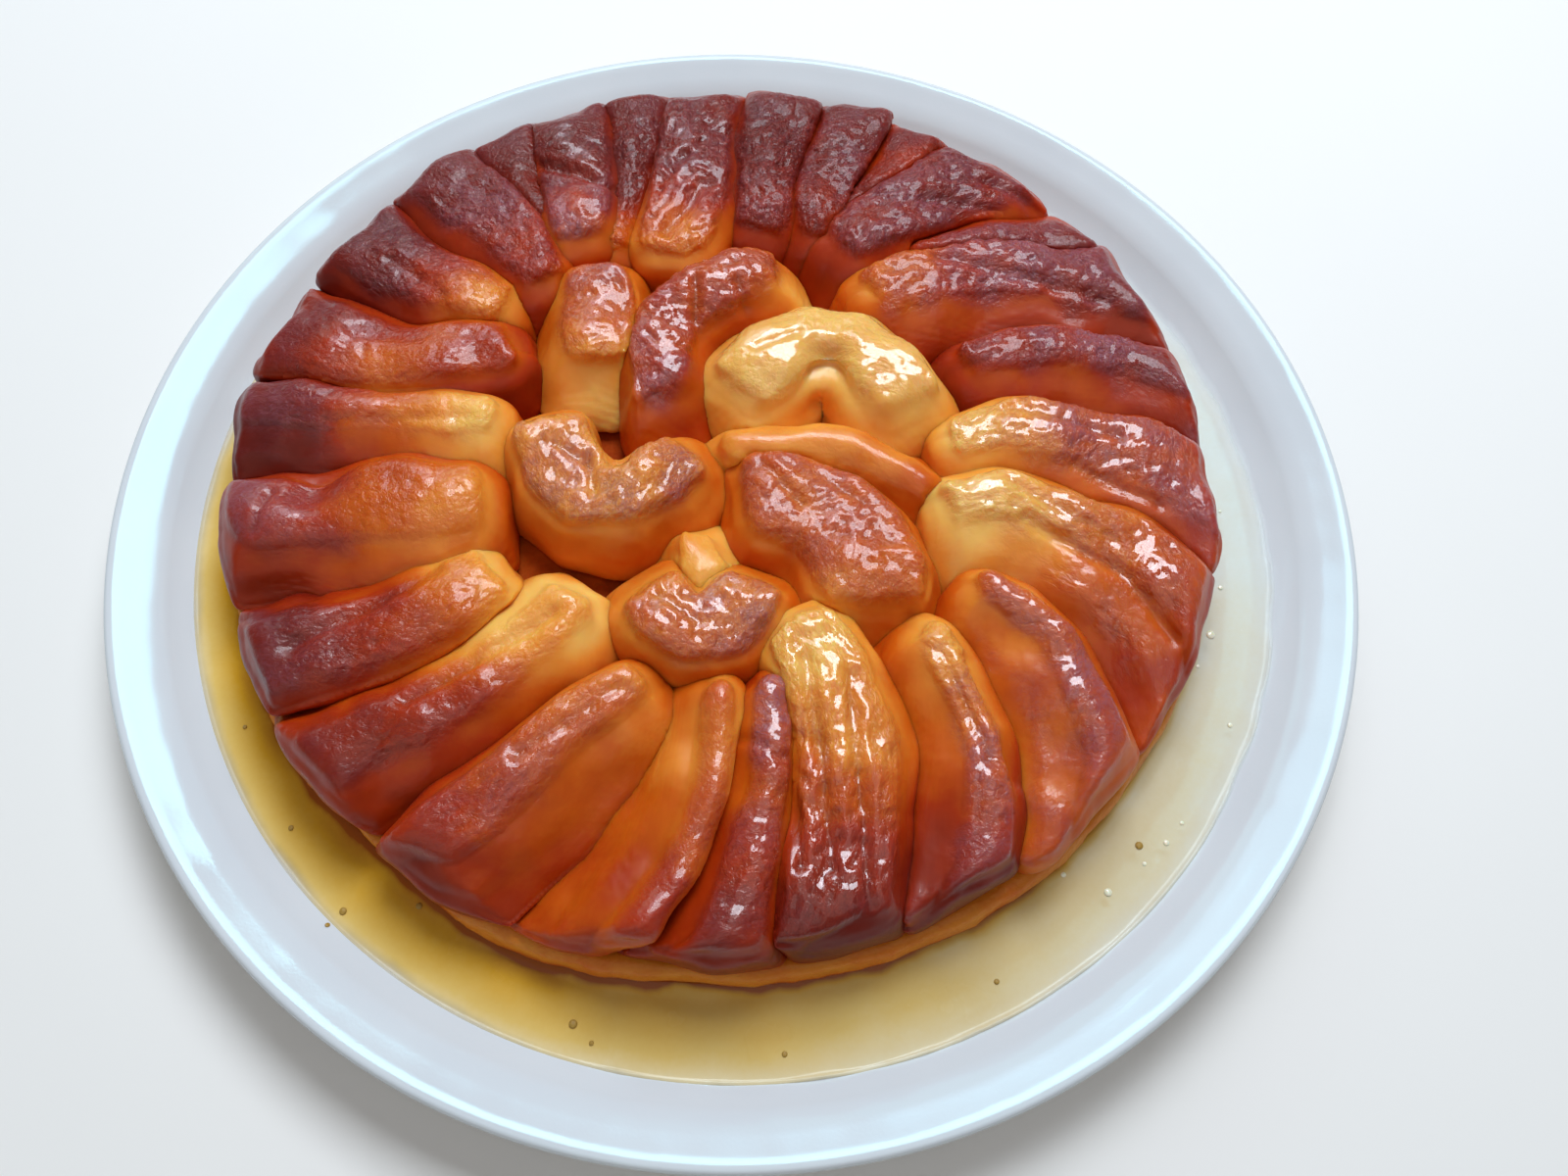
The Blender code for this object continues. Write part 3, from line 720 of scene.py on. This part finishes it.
def make_fruit():
    material = make_fruit_material()
    for part, looks, first_seed in (("outer", OUTER_LOOKS, 1), ("inner", INNER_LOOKS, 51)):
        for order, look in enumerate(looks):
            make_wedge(f"wedge_{part}_{order + 1:02d}", look, first_seed + order, material)


# ---------------------------------------------------------------- pastry

def make_pastry_material():
    """Short pastry, golden and soaked: browner in its cracks and where the fruit's juice ran, and darker at
    its foot, partly juice soaked in and partly painted shade where it meets the juice.
    """
    shader = Shader("pastry")
    here = shader.place()
    cloud = shader.noise(here, 14, detail=4)
    crumb = shader.noise(here, 1.6, detail=5, rough=0.65)
    soak = shader.painted("soak")
    under = shader.painted("under")
    flaky = shader.noise(shader.place((1, 1, 3)), 5, detail=3)
    bake = soak + (cloud - 0.5) * 0.5 + (crumb - 0.5) * 0.2 + (flaky - 0.5) * 0.25
    colour = shader.colours(
        bake, (0.0, srgb(228, 150, 44)), (0.4, srgb(208, 91, 6)), (0.7, srgb(156, 54, 0)),
        (1.0, srgb(92, 30, 2)))
    return shader.finish(
        Base_Color=colour,
        Roughness=shader.rise(crumb, 0.3, 0.7, 0.34, 0.5) + under * 0.5,
        Normal=shader.bump(crumb * 0.7 + flaky * 0.5, 0.5),
        Subsurface_Weight=0.15,
        Subsurface_Radius=(1.0, 0.5, 0.2),
        Subsurface_Scale=0.003,
        Specular_Tint=(1.0, 0.66, 0.40, 1),
        Coat_Weight=(1 - under) * 0.15,
        Coat_Roughness=0.25,
    )


def make_pastry():
    """The pastry disc, smoothed, with soft folds and crumbs in its edge."""
    piece = copy_node("pastry_base", "pastry")
    apply_modifier(piece, "REMESH", mode="VOXEL", voxel_size=1.4 * MM)
    apply_modifier(piece, "SMOOTH", factor=0.5, iterations=5)
    points = points_of(piece)
    normals = normals_of(piece)
    radius = from_centre(points)
    height = points[:, 2] / MM
    side = ramp(105, 112, radius)
    folded = points * (1, 1, 2.2)
    push = 0.5 * bumps(points, 17, 7) + 0.35 * bumps(folded, 7, 8) + 0.15 * bumps(points, 3, 9) + 0.15
    move_points(piece, points + normals * (push * side)[:, None] * MM)
    # Darker towards the foot: juice soaked in, and painted shade along the line where the pastry meets the
    # juice
    foot = 1 - ramp(10.5, 14, height)
    under = 1 - ramp(110, 115.5, radius)
    paint(piece, "soak", 0.20 + 0.55 * foot + 0.48 * under)
    paint(piece, "under", under)
    finish_piece(piece, make_pastry_material(), "shortcrust", "pastry_base")
    return piece


def pastry_edge(pastry, angles):
    """How far out the pastry's foot comes, in mm from the tart's centre, at some angles about it."""
    points = points_of(pastry)
    foot = points[points[:, 2] < 12 * MM]
    turn = np.degrees(np.arctan2(foot[:, 1] - TART_Y, foot[:, 0] - TART_X)).astype(int) % 360
    reach = np.zeros(360)
    np.maximum.at(reach, turn, from_centre(foot))
    return np.interp(np.degrees(angles) % 360, np.arange(361), np.append(reach, reach[0]))


# ---------------------------------------------------------------- plate

# As in the frame's plate: a flat well, a wall that curves up, and a narrow flange
WELL_RADIUS = 121
WELL_FLOOR = 6.5
WALL_RADIUS = 139
WALL_TOP = 15.2
WALL_POWER = 2.2
FLANGE = ((143, 16.9), (146, 18.4), (147.6, 19.2), (148.8, 19.5), (149.6, 19.15), (150, 18.3), (149.6, 17.2),
          (148.2, 15.9), (146, 14.6), (142, 12.6))
UNDERSIDE = ((139, 10.9), (133, 6.4), (127, 3.9), (119, 2.5), (99.5, 2.3), (98.2, 1.2), (97, 0.05), (96.6, 0),
             (90.4, 0), (90, 0.05), (88.8, 1.2), (87.5, 2.3), (40, 2.3))
PLATE_TURNS = 256


def plate_height(radius):
    """Height of the plate's upper side at a radius, both in mm."""
    climb = np.clip((radius - WELL_RADIUS) / (WALL_RADIUS - WELL_RADIUS), 0, 1)
    return WELL_FLOOR + (WALL_TOP - WELL_FLOOR) * climb ** WALL_POWER


def make_plate_material():
    """White glazed porcelain: faintly blue, with a slow waver in the glaze."""
    shader = Shader("porcelain")
    here = shader.place()
    waver = shader.noise(here, 30, detail=2)
    speck = shader.noise(here, 0.7, detail=2)
    colour = shader.mix(waver, (*srgb(211, 215, 219), 1), (*srgb(220, 223, 225), 1))
    return shader.finish(
        Base_Color=colour,
        Roughness=shader.rise(waver, 0.3, 0.7, 0.10, 0.16),
        Normal=shader.bump(waver * 0.9 + speck * 0.02, 0.6),
        IOR=1.45,
        Specular_Tint=(0.45, 0.95, 1.0, 1),
    )


def make_plate():
    """The plate, turned in one piece from its well out over the rim and back under."""
    wall = [(radius, float(plate_height(radius))) for radius in np.linspace(WELL_RADIUS, WALL_RADIUS, 13)]
    profile = [(60, WELL_FLOOR), (112, WELL_FLOOR)] + wall + list(FLANGE) + list(UNDERSIDE)
    piece = lathe("plate_glazed", [(radius * MM, height * MM) for radius, height in profile], PLATE_TURNS)
    finish_piece(piece, make_plate_material(), "porcelain", "plate")
    bpy.ops.object.shade_smooth_by_angle(angle=math.radians(50))


# ---------------------------------------------------------------- juice

JUICE_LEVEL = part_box("juice_pool")[1].z / MM
JUICE_INNER = 106               # mm from the plate's centre, under the pastry
JUICE_OUTER = 133.4             # mm, where its top has run just into the plate's wall
JUICE_BED = (112, 121, 126, 130, 132)  # mm, the rings of its underside
JUICE_SUNK = 0.15               # mm that its underside lies in the glaze
JUICE_TURNS = 360
JUICE_DEEP_SIDE = 215           # degrees: the side where most of the juice has run
JUICE_CRISP_SIDE = -48          # degrees: the side where it ends in a crisp rim


def make_juice_material():
    """Thin caramel juice: golden where it is deep, darkest right beside the pastry with painted contact
    shade, and clear where it feathers out.
    """
    shader = Shader("juice")
    depth = shader.painted("depth")
    here = shader.place()
    cloud = shader.noise(here, 18, detail=4)
    silt = shader.noise(here, 1.2, detail=3)
    rich = depth + (cloud - 0.5) * 0.22 + (silt - 0.5) * 0.05
    colour = shader.colours(
        rich, (0.0, srgb(244, 250, 244)), (0.25, srgb(240, 222, 176)), (0.5, srgb(226, 190, 104)),
        (0.75, srgb(214, 160, 34)), (1.0, srgb(160, 80, 2)))
    return shader.finish(
        Base_Color=colour,
        Roughness=shader.rise(cloud, 0.3, 0.7, 0.16, 0.28),
        Alpha=shader.painted("body"),
        Normal=shader.bump(cloud, 0.4),
        IOR=1.36,
        Specular_Tint=(0.8, 0.95, 1.0, 1),
    )


def make_juice(pastry):
    """The pool: level on top, a little higher at the pastry, and with a soft rim at the plate's wall."""
    bed = [(radius, float(plate_height(radius)) - JUICE_SUNK) for radius in JUICE_BED]
    top = [(radius, JUICE_LEVEL) for radius in np.arange(JUICE_OUTER, JUICE_INNER, -0.5)]
    buried_edge = (JUICE_OUTER + 0.2, JUICE_LEVEL - 0.4)
    profile = [(JUICE_INNER, WELL_FLOOR - JUICE_SUNK), *bed, buried_edge, *top]
    piece = lathe("juice", [(radius * MM, height * MM) for radius, height in profile], JUICE_TURNS)
    points = points_of(piece)
    flat = points * (1, 1, 0)
    radius = np.hypot(points[:, 0], points[:, 1]) / MM
    angle = np.arctan2(points[:, 1], points[:, 0])
    deep_side = 0.5 + 0.5 * np.cos(angle - math.radians(JUICE_DEEP_SIDE))
    crisp = ramp(0.3, 1.0, np.cos(angle - math.radians(JUICE_CRISP_SIDE)))

    # The upper side: level, raised at the pastry, and with a rounded rim where it meets the wall
    floor = plate_height(radius)
    height = points[:, 2] / MM
    tart = from_centre(points)
    edge = 133.2 + 2.2 * deep_side + 0.9 * bumps(flat, 14, 31) + 0.3 * bumps(flat, 4, 32)
    rim = (0.45 + 0.35 * crisp) * np.exp(-((radius - edge + 1.2) / 0.9) ** 2)
    film = 0.22 * (1 - ramp(edge - 1.5, edge, radius)) + rim
    climb = 0.7 * (1 - ramp(118.5, 122, tart))
    level = np.maximum(height + climb, floor + film) + 0.10 * bumps(flat, 9, 33)
    points[:, 2] = np.where(height > floor - 0.1, level, height) * MM
    move_points(piece, points)

    # How strongly it is coloured, with painted shade beside and near the pastry, and how much it covers the
    # glaze
    pool = np.clip((JUICE_LEVEL - floor) / (JUICE_LEVEL - WELL_FLOOR), 0, 1)
    away = tart - pastry_edge(pastry, np.arctan2(points[:, 1] - TART_Y, points[:, 0] - TART_X))
    beside = 1 - ramp(-0.5, 2.4, away + 0.8 * bumps(flat, 6, 34))
    near = 1 - ramp(0, 8, away)
    # Deeper colour on the side where most juice has run and in the pool, where it is thicker and partly
    # painted shade on the side the tart shades; darkest right beside the pastry, a painted contact shadow
    depth = 0.34 * deep_side + 0.34 * pool * deep_side + 0.06 * pool + 0.50 * beside
    # Near the pastry it is darker still on the deep side: painted shade where the tart shades the juice
    depth += near * (0.12 * deep_side + 0.16 * bumps(flat, 12, 35))
    body = (1 - ramp(edge - 5 + 3.4 * crisp, edge, radius)) * (0.50 + 0.50 * deep_side)
    paint(piece, "depth", depth)
    paint(piece, "body", np.maximum(body, beside))
    finish_piece(piece, make_juice_material(), "juice", "juice_pool")


# Bubbles and specks of fruit on the juice: x, y and radius
BUBBLES = (
    (116, -22.6, 1.1), (119.4, -9.6, 0.6), (112.3, -31.2, 0.5), (118.9, -45.5, 0.6), (121, 12.2, 0.4),
    (102.2, -74.8, 0.7), (88.6, -87, 0.9), (78.8, -84, 0.6), (97, -80, 0.5), (106, -70, 0.5))
SPECKS = (
    (-76.6, -104.8, 0.8), (-24.3, -123.6, 0.9), (-60.7, -102.4, 0.7), (96, -76, 0.9), (-79, -108, 0.5),
    (-20, -127, 0.5), (-92, -88, 0.6), (20, -126, 0.6), (64, -108, 0.6), (-108, -66, 0.5))
DROP_LIFT = 0.15  # mm that their middles stand above the juice


def scatter_drops(name, places, flatness, material, slot):
    """Small squashed balls that float in the juice, joined into one piece."""
    balls = []
    for x, y, radius in places:
        bpy.ops.mesh.primitive_uv_sphere_add(
            segments=20, ring_count=12, radius=radius * MM, location=(x * MM, y * MM, JUICE_LEVEL * MM))
        ball = bpy.context.object
        ball.scale.z = flatness
        balls.append(ball)
    bpy.ops.object.select_all(action="DESELECT")
    for ball in balls:
        ball.select_set(True)
    bpy.context.view_layer.objects.active = balls[0]
    bpy.ops.object.join()
    piece = bpy.context.object
    piece.name = name
    piece.data.name = name
    bpy.ops.object.transform_apply(location=True, rotation=True, scale=True)
    points = points_of(piece)
    wall = plate_height(np.hypot(points[:, 0], points[:, 1]) / MM) - JUICE_LEVEL
    move_points(piece, points + (DROP_LIFT + np.maximum(wall, 0))[:, None] * (0, 0, MM))
    finish_piece(piece, material, slot)


def make_bubble_material():
    shader = Shader("bubble")
    ring = shader.noise(shader.place(), 0.6, detail=2)
    return shader.finish(
        Base_Color=shader.mix(ring, (*srgb(236, 226, 186), 1), (*srgb(244, 242, 224), 1)),
        Roughness=0.05,
        Coat_Weight=0.8,
        Coat_IOR=1.6,
        Subsurface_Weight=0.3,
        Subsurface_Scale=0.001,
    )


def make_crumb_material():
    shader = Shader("crumb")
    grit = shader.noise(shader.place(), 0.4, detail=3)
    return shader.finish(
        Base_Color=shader.mix(grit, (*srgb(150, 110, 30), 1), (*srgb(186, 150, 66), 1)),
        Roughness=0.45,
        Normal=shader.bump(grit, 0.2),
    )


def make_drops():
    scatter_drops("bubbles", BUBBLES, 0.45, make_bubble_material(), "juice")
    scatter_drops("crumbs", SPECKS, 0.5, make_crumb_material(), "fruit")


# ---------------------------------------------------------------- floor, light and camera

def make_stage():
    """A plain pale floor."""
    bpy.ops.object.select_all(action="DESELECT")
    bpy.ops.mesh.primitive_plane_add(size=6, location=(0, 0, 0))
    floor = bpy.context.object
    floor.name = "floor"
    shader = Shader("floor_paint")
    cloud = shader.noise(shader.place(), 120, detail=2)
    colour = shader.mix(cloud, (0.88, 0.85, 0.81, 1), (0.90, 0.87, 0.83, 1))
    floor.data.materials.append(shader.finish(Base_Color=colour, Roughness=0.8))


def add_light(name, azimuth, elevation, distance, size, power, colour):
    """A soft rectangular light aimed at the tart. Azimuth 0 is +Y and 90 is +X."""
    turn = math.radians(azimuth)
    climb = math.radians(elevation)
    way = Vector((math.sin(turn) * math.cos(climb), math.cos(turn) * math.cos(climb), math.sin(climb)))
    data = bpy.data.lights.new(name, "AREA")
    data.shape = "RECTANGLE"
    data.size, data.size_y = size
    data.energy = power
    data.color = colour
    light = bpy.data.objects.new(name, data)
    light.location = way * distance
    light.rotation_euler = (-way).to_track_quat("-Z", "Y").to_euler()
    bpy.context.collection.objects.link(light)


def make_lights():
    """A window behind the tart, a little to its right, with softer daylight around it."""
    add_light("window", 12, 61, 1.1, (0.54, 0.46), 10.0, (0.82, 0.91, 1.0))
    add_light("pane", 344, 50, 1.2, (0.34, 0.42), 2.2, (0.78, 0.84, 1.0))
    add_light("sky", 335, 32, 1.4, (0.9, 0.4), 1.6, (0.65, 0.98, 1.0))
    add_light("ceiling", 160, 74, 1.4, (1.1, 1.1), 2.4, (1.0, 0.97, 0.94))
    add_light("room", 205, 35, 1.4, (1.2, 0.9), 1.7, (1.0, 0.95, 0.88))
    world = bpy.data.worlds.new("daylight")
    world.use_nodes = True
    background = world.node_tree.nodes["Background"]
    background.inputs["Color"].default_value = (0.88, 0.93, 1.0, 1)
    background.inputs["Strength"].default_value = 0.16
    bpy.context.scene.world = world


CAMERA_TARGET = Vector((11.76, -14.916, 0)) * MM
CAMERA_ELEVATION = math.radians(64.718)
CAMERA_ROLL = math.radians(4.817)
CAMERA_DISTANCE = 310.09 * MM
CAMERA_LENS = 28.125            # mm, on the usual 36 mm wide sensor


def make_camera():
    """A camera held over the near side of the plate and looking down at it, a little tilted."""
    ahead = Vector((0, math.cos(CAMERA_ELEVATION), -math.sin(CAMERA_ELEVATION)))
    level = Vector((1, 0, 0))
    upright = level.cross(ahead)
    right = math.cos(CAMERA_ROLL) * level + math.sin(CAMERA_ROLL) * upright
    up = math.cos(CAMERA_ROLL) * upright - math.sin(CAMERA_ROLL) * level
    camera = bpy.data.objects.new("camera", bpy.data.cameras.new("camera"))
    camera.data.lens = CAMERA_LENS
    camera.data.clip_start = 0.01
    turn = Matrix((right, up, -ahead)).transposed().to_4x4()
    camera.matrix_world = Matrix.Translation(CAMERA_TARGET - ahead * CAMERA_DISTANCE) @ turn
    bpy.context.collection.objects.link(camera)
    bpy.context.scene.camera = camera


make_camera()
make_stage()
make_lights()
make_plate()
make_juice(make_pastry())
make_drops()
make_fruit()
bpy.context.scene.view_settings.view_transform = "Standard"
